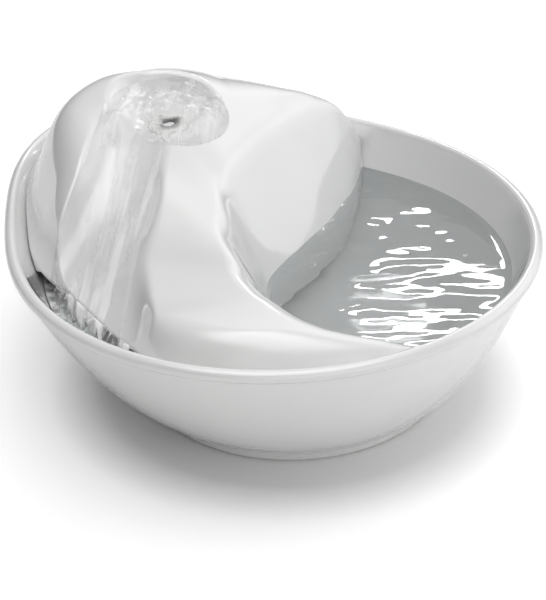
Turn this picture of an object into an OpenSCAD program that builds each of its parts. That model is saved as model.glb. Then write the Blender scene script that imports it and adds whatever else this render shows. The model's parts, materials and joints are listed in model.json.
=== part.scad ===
// Ceramic pet water fountain: a drop-shaped bowl, a wave-shaped cover with a bubbling dish and a
// water slide, and a submersible pump in a filter housing under the cover.
// Z is up. The pointed end of the bowl is towards +Y, the water slide falls towards -X and the
// drinking pool is at +X, -Y. The origin is on the ground under the middle of the bowl.

/* [Bowl] */
// Outer radius of the round part of the rim
rim_r = 127; // [110:1:150]
// How far the drop's point reaches past the round part
drop_len = 49; // [30:1:60]
// Height of the top of the rim
rim_z = 80.4; // [76:0.2:90]
// Width of the rim, from its outer to its inner edge
rim_w = 6.4; // [6:0.1:8]
// How far the rim stands out past the wall under it
rim_lip = 2.4; // [1:0.2:4]
// Outer radius of the foot ring
foot_r = 73.4; // [66:0.2:76]
// How far the foot sits off the rim's centre, across
foot_dx = 4; // [0:0.5:6]
// How far the foot sits off the rim's centre, away from the point
foot_dy = 7; // [0:0.5:9]
// Width of the foot ring
foot_w = 7; // [5:0.5:9]
// Depth of the hollow inside the foot ring
foot_hollow = 4; // [2:0.5:5]
// Height of the bowl's flat floor above the ground
floor_z = 11; // [9:0.5:12]
// Height of the water
water_z = 59.5; // [50:0.5:66]

/* [Cover] */
// Rise of the cover's body above the rim
dome_rise = 47.6; // [40:0.2:56]
// Thickness of the cover's wall
cover_t = 5; // [4:0.25:5.5]
// Gap between the cover's edge and the rim's inner edge
edge_gap = 1.5; // [1:0.1:3]
// Gap left between the cover's feet and the bowl
seat_gap = 0.8; // [0.6:0.05:1.2]
// Height of the cover's outer skirt
skirt_h = 14; // [8:0.5:18]
// Height of the water inlet under the pool wall
inlet_h = 8; // [5:0.5:12]
// Rounding of the crest along the pool
crest_round = 8; // [5:0.5:10]
// Rounding of the brow along the outside
brow_round = 26; // [16:1:30]
// Height of the cord arch in the skirt, at the point of the drop
cord_arch_h = 12; // [9:0.5:14]
// Half width of the cord arch, as an angle
cord_arch_a = 8; // [6:0.5:10]

/* [Water slide and dish] */
// Radius of the dish where the water comes up
dish_r = 29; // [24:0.5:32]
// Height of the dish's floor above the rim
dish_rise = 32; // [28:0.2:34]
// Depth of the dish at its radius
dish_depth = 10; // [8:0.5:12]
// Width of the water slide
slide_w = 42; // [36:1:46]
// Depth of the water slide's hollow at its edges
slide_depth = 10; // [7:0.5:11]
// Fall of the water slide, in millimetres for each millimetre along it
slide_fall = 0.44; // [0.4:0.005:0.46]
// How much the slide leans over towards its lip, as a slope across it
slide_twist = 0.4; // [0.3:0.02:0.46]
// How much wider the slide gets towards its lip, for each millimetre along it
slide_flare = 0.18; // [0.1:0.01:0.22]
// Rounding where the slide and dish are cut into the cover
slide_round = 3; // [2:0.5:6]
// Gap between the slide's lip and the rim's inner edge
lip_gap = 19.6; // [17:0.2:22]
// Height of the cover's edge under the slide's lip
lip_edge = 1; // [0.8:0.1:2]

/* [Outlet] */
// Outer radius of the vinyl tube
tube_r = 6.5; // [6:0.25:8]
// Wall of the vinyl tube
tube_t = 1.5; // [1.25:0.25:2]
// Wall of the outlet nozzle
nozzle_t = 1.2; // [1:0.1:1.5]
// Radius of the outlet nozzle's flange
nozzle_flange_r = 10; // [9.5:0.25:12]
// Radial thickness of the rubber grommet in the cover
grommet_t = 1.6; // [1.2:0.1:2]
// Length of the nozzle's spigot inside the tube
spigot_l = 12; // [8:0.5:14]
// Radial clearance between the spigot and the tube
spigot_fit = 0.05; // [0.02:0.01:0.1]

/* [Filter housing] */
// Room beside the motor, on each side
side_room = 7; // [6:0.5:8]
// Room over the motor, under the lid
head_room = 3; // [2.5:0.5:6]
// Wall of the housing
house_t = 2; // [1.6:0.1:2.4]
// Thickness of the housing's lid
lid_t = 2.4; // [2:0.1:3]
// Clearance of parts that lift out
lift_fit = 0.5; // [0.35:0.05:0.7]
// Width of an intake slot
slot_w = 2.2; // [1.6:0.1:3]
// Height of the suction cups under the housing
cup_h = 9; // [8.5:0.25:10]
// Radius of a suction cup
cup_r = 5.5; // [5:0.25:6]

/* [Filter cartridge] */
// Thickness of the cartridge
cart_t = 7; // [6:0.25:7.5]
// Wall of the cartridge's frame
cart_wall = 1.6; // [1.2:0.1:2]
// Thickness of the charcoal pad
carbon_t = 2.6; // [2:0.1:3]
// Width of the cartridge's pull tab
tab_w = 18; // [12:1:24]

/* [Pump] */
// Width of the motor case
motor_x = 36; // [36:0.5:38]
// Length of the motor case along the impeller's axis
motor_y = 25; // [25:0.5:27]
// Height of the motor case
motor_z = 31; // [31:0.5:33]
// Wall of the motor case
case_t = 1.6; // [1.2:0.1:1.8]
// Radius of the rotor's magnet
magnet_r = 7; // [6.5:0.1:7.2]
// Length of the rotor's magnet
magnet_l = 17; // [14:0.5:17]
// Radius of the impeller's blades
impeller_r = 9.5; // [8.5:0.25:10]
// Number of blades on the impeller
blades = 6; // [4:1:8]
// Radius of the ceramic shaft
shaft_r = 1.5; // [1.25:0.05:1.6]
// Radial running clearance between the shaft and the rotor
shaft_fit = 0.06; // [0.03:0.01:0.09]
// Outer radius of the volute
volute_r = 14; // [13.5:0.25:14.5]
// Height of the flow regulator's knob
knob_h = 2.5; // [2.3:0.1:3]
// Radius of the flow regulator's knob
knob_r = 5; // [4:0.25:5.5]
// Radius of the cord's hole through the gland
cord_r = 2.2; // [1.8:0.1:2.4]

/* [Hidden] */

$fn = 48;
// Steps round the bowl and along the cover
bowl_steps = 80;
cover_steps = 72;
// Sharpness of the drop's point
drop_pow = 22;
// Shape of the bowl's wall: how much of its rise is straight, and the power of the rest
wall_lin = 0.53;
wall_pow = 2.4;
// Half width of the blend from the floor to the inner wall, as a share of the wall
floor_blend = 0.12;
// Height at which the outer wall leaves the foot ring, and its extra radius there
wall_z0 = 6.3;
wall_out = 2.4;
// Height of the outer wall's top below the rim, and of the inner wall's top
under_lip = 6.4;
inner_lip = 2.4;
// Thickness of the wall at the foot
bowl_t = 4.8;
// Angle at the middle of the slide's lip, half the angle that it spans, and the skirt's fade beside it
lip_a = 177;
lip_half = 20;
lip_fade = 16;
// Rounding at the ends of the lip's straight edge
lip_round = 6;
// Everything hangs on the centre of the round part of the rim
rim_cy = -drop_len / 2;
foot_c = [foot_dx, -foot_dy];
wall_r0 = foot_r + wall_out;
inner_r0 = wall_r0 - bowl_t;

// ---------- Bowl: section rings from the underside over the rim to the floor ----------
function polar(r, a) = [r * cos(a), r * sin(a)];
function drop_r(a, inset) =
    rim_r + drop_len * pow(abs(cos((a - 90) / 2)), drop_pow) - inset;
function rise(q) = wall_lin * q + (1 - wall_lin) * pow(max(q, 0), wall_pow);
function soft(q) = q <= -floor_blend ? 0
    : q >= floor_blend ? q : pow(q + floor_blend, 2) / (4 * floor_blend);
function outer_z(q) = wall_z0 + (rim_z - under_lip - wall_z0) * rise(q);
function inner_z(q) = floor_z + (rim_z - inner_lip - floor_z) * rise(soft(q));
// A ring is [share of the way from foot to rim, radius at the foot, inset at the rim, height]
function ring_pt(ring, a) =
    let (p = (foot_c + polar(ring[1], a)) * (1 - ring[0])
        + polar(drop_r(a, ring[2]), a) * ring[0])
    [p.x, p.y, ring[3]];
bowl_rings = concat(
    [for (s = [[-foot_w - 3, foot_hollow], [-foot_w, 1.2], [-foot_w + 1.4, 0],
        [-1.9, 0], [0, 1.6], [1, 4.2]]) [0, foot_r + s[0], 0, s[1]]],
    [for (i = [0:8]) [i / 8, wall_r0, rim_lip, outer_z(i / 8)]],
    [for (s = [[0.45, -5.2], [0.05, -3.4], [0.25, -1.5], [1, -0.35]])
        [1, 0, rim_lip * s[0], rim_z + s[1]]],
    [[1, 0, rim_w * 0.5, rim_z], [1, 0, rim_w * 0.8, rim_z - 0.6]],
    [for (i = [0:9]) let (q = 1 - i * (1 + floor_blend) / 9) [q, inner_r0, rim_w, inner_z(q)]]);

// Closed skin through rows of points; loops close on themselves and the ends are capped
function skin_faces(rows, cols) = [for (i = [0:rows - 2], j = [0:cols - 1])
    let (a = i * cols + j, b = i * cols + (j + 1) % cols)
    each [[a, b, b + cols], [a, b + cols, a + cols]]];

module bowl() {
    n = bowl_steps;
    m = len(bowl_rings);
    pts = concat([for (r = bowl_rings, k = [0:n - 1]) ring_pt(r, k * 360 / n)],
        [[foot_c.x, foot_c.y, foot_hollow], [foot_c.x, foot_c.y, floor_z]]);
    lower = [for (k = [0:n - 1]) [n * m, (k + 1) % n, k]];
    upper = [for (k = [0:n - 1]) [n * m + 1, (m - 1) * n + k, (m - 1) * n + (k + 1) % n]];
    color("whitesmoke") at_rim() polyhedron(pts,
        [for (f = concat(lower, skin_faces(m, n), upper)) [f[0], f[2], f[1]]]);
}

module at_rim() {
    translate([0, rim_cy, 0]) children();
}

// Height of the bowl's inner surface under a point, found by stepping towards it
function bowl_q(p, q = 0.5, steps = 4) = steps == 0 ? q
    : let (d = p - foot_c * (1 - q), a = atan2(d.y, d.x))
    bowl_q(p, (norm(d) - inner_r0) / (drop_r(a, rim_w) - inner_r0), steps - 1);
function bowl_floor(p) = inner_z(bowl_q(p));

// ---------- Cover: cross sections from the pool, over crest and brow, to the rim ----------
// Each row is one section. Plan positions are hundredths of the rim's radius from the rim's
// centre, and heights are hundredths of the dome's rise above the rim:
// pool edge x, y,  crest x, y, height,  brow x, y, height,  rim angle, extra inset, edge height,
// and the share of the brow's rounding
sections = [
    [76, 50, 76, 52, -11, 77, 55, -12, 37, 0, -14, 100],
    [70, 43, 67, 53, 31, 65, 59, 33, 46, 0, -7, 100],
    [62, 35, 58, 51, 41, 54, 58, 56, 56, 0, -7, 100],
    [50, 26, 43, 46, 50, 42, 61, 71, 66, 0, -7, 100],
    [37, 17, 26, 39, 55, 30, 69, 85, 77, 0, -7, 100],
    [22, 9, 11, 32, 55, 16, 77, 100, 87, 0, -7, 100],
    [6, 1, -4, 23, 53, -2, 84, 111, 98, 0, -7, 100],
    [-6, -7, -14, 13, 46, -20, 92, 111, 111, 1, -7, 100],
    [-13, -16, -21, 1, 40, -39, 90, 94, 126, 2, -9, 100],
    [-17, -25, -28, -10, 34, -54, 59, 72, 142, 3, -18, 80],
    [-19, -35, -32, -23, 29, -66, 44, 43, 157, 4, -24, 60],
    [-20, -43, -35, -32, 24, -77, 24, 14, 171, 4, -24, 25],
    [-20, -51, -36, -42, 22, -76, -12, 8, 187, 3, -24, 25],
    [-18, -59, -35, -51, 20, -73, -38, 14, 205, 1, -18, 60],
    [-15, -66, -33, -61, 16, -63, -57, 16, 221, 0, -16, 100],
    [-10, -72, -28, -69, 10, -46, -69, 14, 236, 0, -16, 100],
    [-5, -78, -20, -76, 2, -29, -79, 5, 249, 0, -16, 100],
    [2, -83, -11, -83, -6, -13, -86, -6, 259, 0, -16, 100],
    [6, -87, -2, -87, -16, -2, -89, -16, 265, 1, -20, 100]];

// Catmull-Rom curve through the sections, at t from 0 to 1
function row(i) = sections[max(0, min(len(sections) - 1, i))];
function section_at(t) =
    let (x = t * (len(sections) - 1), i = min(floor(x), len(sections) - 2), f = x - i,
        p0 = row(i - 1), p1 = row(i), p2 = row(i + 1), p3 = row(i + 2))
    (2 * p1 + (p2 - p0) * f + (2 * p0 - 5 * p1 + 4 * p2 - p3) * f * f
        + (3 * p1 - p0 - 3 * p2 + p3) * f * f * f) / 2;
function plan(v) = v * rim_r / 100;
function height(h) = rim_z + dome_rise * h / 100;
function unit(v) = v / norm(v);
function smooth_min(a, b, k) =
    let (h = max(k - abs(a - b), 0) / k) min(a, b) - h * h * k / 4;
function ease(t) = let (u = max(0, min(1, t))) u * u * (3 - 2 * u);

// The skirt's height: it gives way to the cord's arch and along the slide's lip
function arch(a) = cord_arch_h * pow(max(0, cos(min(90, abs(a - 90) * 90 / cord_arch_a))), 0.7);
function skirt(a) = max(lip_edge, skirt_h * ease((abs(a - lip_a) - lip_half) / lip_fade) - arch(a));

// Corner points of one section: pool edge, crest, brow and outer edge, cut straight at the lip
lip_reach = rim_r - rim_w - lip_gap;
function edge_at(s) = let (o = polar(drop_r(s[8], rim_w + edge_gap + plan(s[9])), s[8]))
    [-smooth_min(-o.x, lip_reach, lip_round), o.y];
function corners(s) = let (o = edge_at(s))
    [[plan(s[0]), plan(s[1]), water_z - 4], [plan(s[2]), plan(s[3]), height(s[4])],
        [plan(s[5]), plan(s[6]), height(s[7])], [o.x, o.y, height(s[10]) + arch(s[8])]];

// The same corners moved in by the wall's thickness
function wall_at(c) = min(cover_t, 0.45 * norm(c[2] - c[1]));
function inward(p, q) =
    let (d = q - p, h = norm([d.x, d.y]))
    unit([d.z * d.x / h, d.z * d.y / h, -h]);
function mitre(n, m) = (n + m) / (1 + n * m);
function inner_corners(c) =
    let (t = wall_at(c), n1 = inward(c[0], c[1]), n2 = inward(c[1], c[2]),
        n3 = inward(c[2], c[3]), h1 = [n1.x, n1.y, 0], h3 = [n3.x, n3.y, 0])
    [c[0] + h1 * t / (h1 * h1), c[1] + mitre(n1, n2) * t,
        c[2] + mitre(n2, n3) * t, c[3] + h3 * t / max(0.35, h3 * h3)];

// A section as a curve: straight runs joined by round corners
function bezier(p, m, q, k) = [for (i = [0:k - 1]) let (t = i / k)
    p * (1 - t) * (1 - t) + 2 * m * t * (1 - t) + q * t * t];
function run(p, q, k) = [for (i = [0:k - 1]) p + (q - p) * i / k];
function section_curve(c, brow) =
    let (lw = norm(c[1] - c[0]), lt = norm(c[2] - c[1]), lo = norm(c[3] - c[2]),
        a = min(crest_round, 0.45 * lw, 0.45 * lt), b = min(brow, 0.5 * lt, 0.6 * lo),
        uw = (c[1] - c[0]) / lw, ut = (c[2] - c[1]) / lt, uo = (c[3] - c[2]) / lo)
    concat(run(c[0], c[1] - uw * a, 4), bezier(c[1] - uw * a, c[1], c[1] + ut * a, 4),
        run(c[1] + ut * a, c[2] - ut * b, 8), bezier(c[2] - ut * b, c[2], c[2] + uo * b, 5),
        run(c[2] + uo * b, c[3], 5), [c[3]]);

// Water slide and dish, cut into the section by a smooth minimum. The slide runs straight from
// its head, and leans and widens on its way so that it meets the lip level along its whole width.
slide_a = 226;
slide_p = plan([-17.2, 64.8]);
dish_c = plan([-10.2, 58]);
slide_start = plan(9.5);
twist_from = plan(35.5);
twist_to = plan(71);
flare_from = plan(39.5);
twist_skew = 0.35;
twist_blend = plan(8);
head_rise = 0.05;
right_flare = 0.65;
dish_z = rim_z + dish_rise;
function twist(a, c) = slide_twist * ease((a - twist_from) / (twist_to - twist_from))
    * (1 + twist_skew * c / (abs(c) + twist_blend));
function flare(c) = c > 0 ? slide_flare : slide_flare * right_flare;
function slide_z(p) =
    let (d = p - slide_p, a = d * polar(1, slide_a), c = d * polar(1, slide_a - 90),
        w = abs(c) / (slide_w / 2 + flare(c) * max(a - flare_from, 0)))
    dish_z + 2 - slide_fall * max(0, a - slide_start) - twist(a, c) * c
        + head_rise * pow(max(0, slide_start - a), 2)
        + slide_depth * (0.6 * w * w + 0.4 * pow(w, 6));
function dish_surface(p) = dish_z + dish_depth * pow(norm(p - dish_c) / dish_r, 4);
function cut_z(p) = smooth_min(slide_z(p), dish_surface(p), 3);
function carved(p, drop) =
    [p.x, p.y, smooth_min(p.z, cut_z([p.x, p.y]) - drop, slide_round)];

// Feet of the walls, which follow the bowl's inside; the inlet lifts the pool wall's foot
function inlet(t) = inlet_h * pow(max(0, sin(180 * max(0, min(1, (t - 0.2) / 0.45)))), 0.6);
function foot(p, z) = [p.x, p.y, max(z, bowl_floor([p.x, p.y]) + seat_gap)];
function clear(p) = [p.x, p.y, max(p.z, bowl_floor([p.x, p.y]) + seat_gap + 1)];
function pool_foot(p, t) = foot(p, min(p.z - 1, bowl_floor([p.x, p.y]) + seat_gap + inlet(t)));
function cover_loop(t) =
    let (s = section_at(t), c = corners(s), d = inner_corners(c), brow = brow_round * s[11] / 100,
        outer = [for (p = section_curve(c, brow)) clear(carved(p, 0))],
        inner = [for (p = section_curve(d, brow)) clear(carved(p, wall_at(c) * 1.1))],
        last = len(outer) - 1, low = outer[last].z - skirt(s[8]))
    concat([pool_foot(outer[0], t)], outer, [foot(outer[last], low), foot(inner[last], low)],
        [for (i = [last:-1:0]) inner[i]], [pool_foot(inner[0], t)]);

module cover_shell() {
    rows = [for (i = [0:cover_steps]) cover_loop(i / cover_steps)];
    n = len(rows[0]);
    half = n / 2;
    caps = [for (j = [0:half - 2]) each [[j, j + 1, n - 2 - j], [j, n - 2 - j, n - 1 - j]]];
    far = cover_steps * n;
    skin = [for (f = skin_faces(cover_steps + 1, n)) [f[0], f[2], f[1]]];
    polyhedron([for (r = rows) each r],
        concat(caps, skin, [for (f = caps) [far + f[0], far + f[2], far + f[1]]]));
}

// ---------- Water path ----------
// The riser stands over the pump's outlet, inside the dish
riser = [-16, 68] * rim_r / 127;
nozzle_r = tube_r - tube_t - spigot_fit;
grommet_r = nozzle_r + grommet_t;
grommet_h = cover_t + 1.2;
nozzle_top = dish_surface(riser);
tube_top = nozzle_top - grommet_h - 2;

module at_riser(z) {
    translate([riser.x, riser.y + rim_cy, z]) children();
}

module cover() {
    color("white") difference() {
        at_rim() cover_shell();
        at_riser(nozzle_top - 4 * cover_t) cylinder(r = grommet_r, h = 6 * cover_t);
        at_riser(nozzle_top) cylinder(r = nozzle_flange_r + lift_fit, h = 6 * cover_t);
    }
}

module outlet_grommet() {
    color("gainsboro") at_riser(nozzle_top - grommet_h) difference() {
        union() {
            cylinder(r = grommet_r, h = grommet_h - 0.2);
            translate([0, 0, -1.2]) cylinder(r = grommet_r + 1.8, h = 1.2);
        }
        translate([0, 0, -2]) cylinder(r = nozzle_r, h = grommet_h + 4);
    }
}

module outlet_nozzle() {
    barrel = nozzle_top - tube_top + spigot_l;
    bore_r = nozzle_r - nozzle_t;
    color("white") at_riser(nozzle_top) rotate_extrude() polygon([
        [bore_r, -barrel], [nozzle_r, -barrel], [nozzle_r, 0], [nozzle_flange_r, 0],
        [nozzle_flange_r, 0.8], [nozzle_flange_r - 1, 1.6], [bore_r + 1, 1.6], [bore_r, 0.8]]);
}

module outlet_tube() {
    color("lightcyan") at_riser(tube_bottom) difference() {
        cylinder(r = tube_r, h = tube_top - tube_bottom);
        translate([0, 0, -1]) cylinder(r = tube_r - tube_t, h = tube_top - tube_bottom + 2);
    }
}

// ---------- Places of the housing and the pump, from the riser and the bowl's floor ----------
house_z = floor_z + cup_h;
house_floor = house_z + house_t;
house_h = house_t + motor_z + head_room;
house_top = house_z + house_h;
axis_z = house_floor + volute_r + 3;
volute_d = 2 * nozzle_r + 0.1;
rail_w = 1.5;
rail_t = 1.6;
case_front = -volute_d / 2;
case_back = case_front - motor_y;
house_x = motor_x + 2 * side_room + 2 * house_t;
house_front = volute_d / 2 + knob_h + lift_fit + house_t;
house_back = case_back - 3 * lift_fit - rail_t - cart_t - house_t;
house_y = house_front - house_back;
house_front_r = 22;
house_back_r = 4;
tube_bottom = axis_z + volute_r + 1.6;
slot_pitch = 5;
slots = 4;

// ---------- Filter housing ----------
// Box from the back wall forwards, with its own corner radii at the front and the back
module slab(sx, sy, h, front_r, back_r) {
    translate([-sx / 2, back_r, 0]) cube([sx, sy - front_r - back_r, h]);
    translate([-sx / 2 + front_r, back_r, 0]) cube([sx - 2 * front_r, sy - back_r, h]);
    translate([-sx / 2 + back_r, 0, 0]) cube([sx - 2 * back_r, back_r + 1, h]);
    for (s = [-1, 1]) {
        translate([s * (sx / 2 - front_r), sy - front_r, 0]) cylinder(r = front_r, h = h);
        translate([s * (sx / 2 - back_r), back_r, 0]) cylinder(r = back_r, h = h);
    }
}

// Suction cups: two rows from the housing's back wall on, each as wide as the housing and the flat
// of the bowl's floor allow. Places are from the middle of the housing's back wall.
cup_stem_r = 2;
cup_gap = 0.3;
flat_c = foot_c * (1 + floor_blend);
flat_r = inner_r0 - floor_blend * (drop_r(90, rim_w) - inner_r0);
cup_reach = flat_r - cup_r - cup_gap;
cup_x = house_x / 2 - cup_r - cup_gap;
house_at = riser + [0, house_back];
function cup_row(y) =
    let (half = sqrt(max(pow(cup_r + cup_gap, 2), pow(cup_reach, 2) - pow(house_at.y + y - flat_c.y, 2))),
        right = min(flat_c.x + half - house_at.x, cup_x),
        left = max(flat_c.x - half - house_at.x, -cup_x))
    [[min(left, right - 2 * cup_r - cup_gap), y], [right, y]];
cup_places = concat(cup_row(cup_r + cup_gap), cup_row(3 * cup_r + 2 * cup_gap));
function under_cup(p) =
    max([for (a = [0:45:315]) bowl_floor(house_at + p + polar(cup_r, a))]);

// Places a piece over the housing's back wall
module at_house(z) {
    at_riser(z) translate([0, house_back, 0]) children();
}

module room(h, gap) {
    translate([0, house_t + gap, 0])
        slab(house_x - 2 * (house_t + gap), house_y - 2 * (house_t + gap), h,
            house_front_r - house_t - gap, max(0.5, house_back_r - house_t - gap));
}

// Corner rail that guides one side of the cartridge
module rail(side) {
    x = side > 0 ? house_x / 2 - house_t : -house_x / 2 + house_t + rail_w;
    h = house_h - house_t - 3;
    d = cart_t + 2 * lift_fit;
    translate([x - rail_w, house_t, 0]) cube([rail_w, d + rail_t, h]);
    translate([side > 0 ? x - 3.5 : x - rail_w, house_t + d, 0]) cube([3.5, rail_t, h]);
}

module filter_housing() {
    color("dimgray") at_house(house_z) {
        difference() {
            slab(house_x, house_y, house_h, house_front_r, house_back_r);
            translate([0, 0, house_t]) room(house_h, 0);
            for (i = [-slots:slots]) translate([i * slot_pitch - slot_w / 2, -1, house_t + 4])
                cube([slot_w, house_t + 2, house_h - house_t - 10]);
            for (p = cup_places) translate([p.x, p.y, -1]) cylinder(r = cup_stem_r, h = house_t + 2);
        }
        translate([0, 0, house_t]) {
            rail(1);
            rail(-1);
        }
    }
}

module housing_lid() {
    color("dimgray") difference() {
        at_house(house_top) {
            slab(house_x, house_y, lid_t, house_front_r, house_back_r);
            for (x = [-20, 20]) translate([x - 4, house_y - 24, lid_t]) cube([8, 2, 3]);
            translate([0, 0, -2]) difference() {
                room(2, lift_fit);
                translate([0, 0, -1]) room(4, lift_fit + 1.6);
                translate([-house_x, -1, -1])
                    cube([2 * house_x, house_t + cart_t + 3 * lift_fit + rail_t + 1, 4]);
            }
        }
        at_riser(house_top - 3) cylinder(r = tube_r + lift_fit, h = lid_t + 4);
        at_gland(house_top - 3) cylinder(r = gland_r + 2 * lift_fit, h = lid_t + 4);
        at_house(house_top - 3) translate([-cart_x / 2 - lift_fit, house_t, 0])
            cube([cart_x + 2 * lift_fit, cart_t + 2 * lift_fit, lid_t + 4]);
    }
}

// Suction cup with a stem through the housing's floor
module suction_cup(i) {
    p = cup_places[i];
    low = under_cup(p);
    h = house_z - low;
    thin = 1.2;
    color("gray") at_house(low) translate([p.x, p.y, 0]) rotate_extrude() polygon([
        [0, 2.6], [cup_r - 2, 1.2], [cup_r - 1, 0], [cup_r, 0], [cup_r, 0.8], [3.2, 2.6 + thin],
        [3.2, h], [cup_stem_r, h], [cup_stem_r, h + house_t], [0, h + house_t]]);
}

// ---------- Filter cartridge, lifting straight up out of its rails ----------
cart_x = house_x - 2 * (house_t + rail_w + lift_fit);
cart_z = house_floor + lift_fit;
cart_h = house_top + lid_t - cart_z;
plate_t = 1.2;
pad_x = cart_x - 2 * cart_wall;
pad_h = cart_h - 2 * cart_wall;
foam_t = cart_t - 2 * plate_t - carbon_t;

// Places a piece inside the cartridge, at a depth from its pool side
module in_cartridge(y) {
    at_house(cart_z + cart_wall) translate([-pad_x / 2, house_t + lift_fit + y, 0]) children();
}
module bars(count, w) {
    pitch = pad_x / count;
    for (i = [0:count - 1]) translate([(i + 0.5) * pitch - w / 2, -1, 2])
        cube([w, plate_t + 2, pad_h - 4]);
}

module cartridge_frame() {
    color("white") difference() {
        union() {
            at_house(cart_z) translate([-cart_x / 2, house_t + lift_fit, 0])
                cube([cart_x, cart_t, cart_h]);
            at_house(cart_z + cart_h) translate([-tab_w / 2, house_t + lift_fit + cart_t / 2, 0]) {
                translate([0, -1.2, 0]) cube([tab_w, 2.4, 5]);
                translate([0, -2, 3.8]) cube([tab_w, 4, 1.2]);
            }
        }
        in_cartridge(-1) cube([pad_x, cart_t - plate_t + 1, pad_h]);
        in_cartridge(cart_t - plate_t) bars(9, 3);
    }
}

module cartridge_grille() {
    color("white") in_cartridge(0) difference() {
        cube([pad_x, plate_t, pad_h]);
        bars(11, 2.2);
    }
}

module foam_pad() {
    color("darkgray") in_cartridge(plate_t) cube([pad_x, foam_t, pad_h]);
}

module charcoal_pad() {
    color([0.15, 0.15, 0.16]) in_cartridge(plate_t + foam_t) cube([pad_x, carbon_t, pad_h]);
}

// ---------- Pump ----------
// Turns a piece so that it is drawn along the impeller's axis, from a depth y on
module along_axis(y) {
    at_riser(axis_z) translate([0, y, 0]) rotate([-90, 0, 0]) children();
}

well_r = magnet_r + 0.6;
well_l = magnet_l + 4;
can_t = 1.2;
bush_l = 2;
hold = 0.01;
rotor_y = case_front - well_l + bush_l + 0.5;
chamber_r = volute_r - 2.5;
chamber_l = volute_d - 2;
boss_y = volute_d / 2 - 3;
hub_r = 3;
gland_r = cord_r + 1.2;

module at_gland(z) {
    at_riser(z) translate([motor_x / 2 - 6, case_back + 6, 0]) children();
}

module motor_case() {
    room_z = motor_z - 2 * case_t;
    can_r = well_r + can_t;
    color("darkslategray") difference() {
        at_riser(house_floor) translate([0, case_back, 0]) slab(motor_x, motor_y, motor_z, 3, 3);
        difference() {
            at_riser(house_floor + case_t) translate([-motor_x / 2 + case_t, case_back - 1, 0])
                cube([motor_x - 2 * case_t, motor_y - case_t + 1, room_z]);
            along_axis(case_front - well_l - can_t) cylinder(r = can_r, h = well_l + can_t + 1);
        }
        along_axis(case_front - well_l) cylinder(r = well_r, h = well_l + 1);
        at_gland(house_floor + motor_z - case_t - 1) cylinder(r = gland_r - 0.4, h = case_t + 2);
    }
}

// Laminated core: a bridge through the coil and a leg on each side of the rotor
core_t = 12;
core_y = rotor_y + magnet_l / 2;
coil_z = house_floor + case_t;
coil_h = axis_z - well_r - can_t - 0.4 - coil_z;
coil_wall = 1.7;
leg_in = well_r + can_t + 0.2;
leg_out = motor_x / 2 - case_t - 0.4;

module stator_core() {
    low = coil_z + coil_wall;
    bridge = coil_z + coil_h - coil_wall;
    color("silver") at_riser(0) translate([0, core_y + core_t / 2, 0]) rotate([90, 0, 0])
        linear_extrude(core_t) polygon([[-leg_out, low], [leg_out, low], [leg_out, axis_z + 8],
            [leg_in, axis_z + 8], [leg_in, bridge], [-leg_in, bridge], [-leg_in, axis_z + 8],
            [-leg_out, axis_z + 8]]);
}

module stator_coil() {
    w = 2 * leg_in - 0.4;
    color("peru") at_riser(coil_z) difference() {
        translate([-w / 2, core_y - core_t / 2 - coil_wall, 0])
            cube([w, core_t + 2 * coil_wall, coil_h]);
        translate([-w, core_y - core_t / 2, coil_wall])
            cube([2 * w, core_t, coil_h - 2 * coil_wall]);
    }
}

module potting_block() {
    color("black") at_riser(house_floor + case_t)
        translate([-motor_x / 2 + case_t, case_back, 0])
        cube([motor_x - 2 * case_t, motor_y - well_l - can_t - 0.1, motor_z - 2 * case_t]);
}

module cable_gland() {
    color("black") at_gland(house_floor + motor_z) rotate_extrude() polygon([
        [cord_r, -case_t], [gland_r - 0.4, -case_t], [gland_r - 0.4, 0], [gland_r + 0.6, 0],
        [gland_r + 0.6, 1.4], [gland_r, 1.8], [gland_r - 0.5, 9], [cord_r, 9]]);
}

module impeller_shaft() {
    start = case_front - well_l;
    color("ivory") along_axis(start) cylinder(r = shaft_r, h = volute_d / 2 - 0.9 - start);
}

module bush(r) {
    difference() {
        cylinder(r = r - hold, h = bush_l);
        translate([0, 0, -1]) cylinder(r = shaft_r + hold, h = bush_l + 2);
    }
}

module rear_bush() {
    color("black") along_axis(case_front - well_l) bush(well_r);
}

module front_bush() {
    color("black") along_axis(boss_y) bush(hub_r);
}

module rotor_magnet() {
    color("dimgray") along_axis(rotor_y) difference() {
        cylinder(r = magnet_r, h = magnet_l);
        translate([0, 0, -1]) cylinder(r = hub_r + hold, h = magnet_l + 2);
    }
}

module impeller() {
    hub_l = boss_y - 0.2 - rotor_y;
    disc = case_front + 0.8 - rotor_y;
    color("white") along_axis(rotor_y) difference() {
        union() {
            cylinder(r = hub_r, h = hub_l);
            translate([0, 0, disc]) cylinder(r = impeller_r, h = 1);
            for (i = [0:blades - 1]) rotate([0, 0, i * 360 / blades])
                translate([hub_r - 0.6, -0.6, disc + 0.8])
                cube([impeller_r - hub_r + 0.4, 1.2, hub_l - disc - 1]);
        }
        translate([0, 0, -1]) cylinder(r = shaft_r + shaft_fit, h = hub_l + 2);
    }
}

// Three intake windows, in the volute's cover and in the knob's disc
module windows(h) {
    for (a = [90, 210, 330]) rotate([0, 0, a]) translate([8, 0, -1]) cylinder(r = 2.5, h = h + 2);
}
seal_r = 0.5;
seal_ring = (volute_r + chamber_r) / 2;
pin_r = 2.2;

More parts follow.
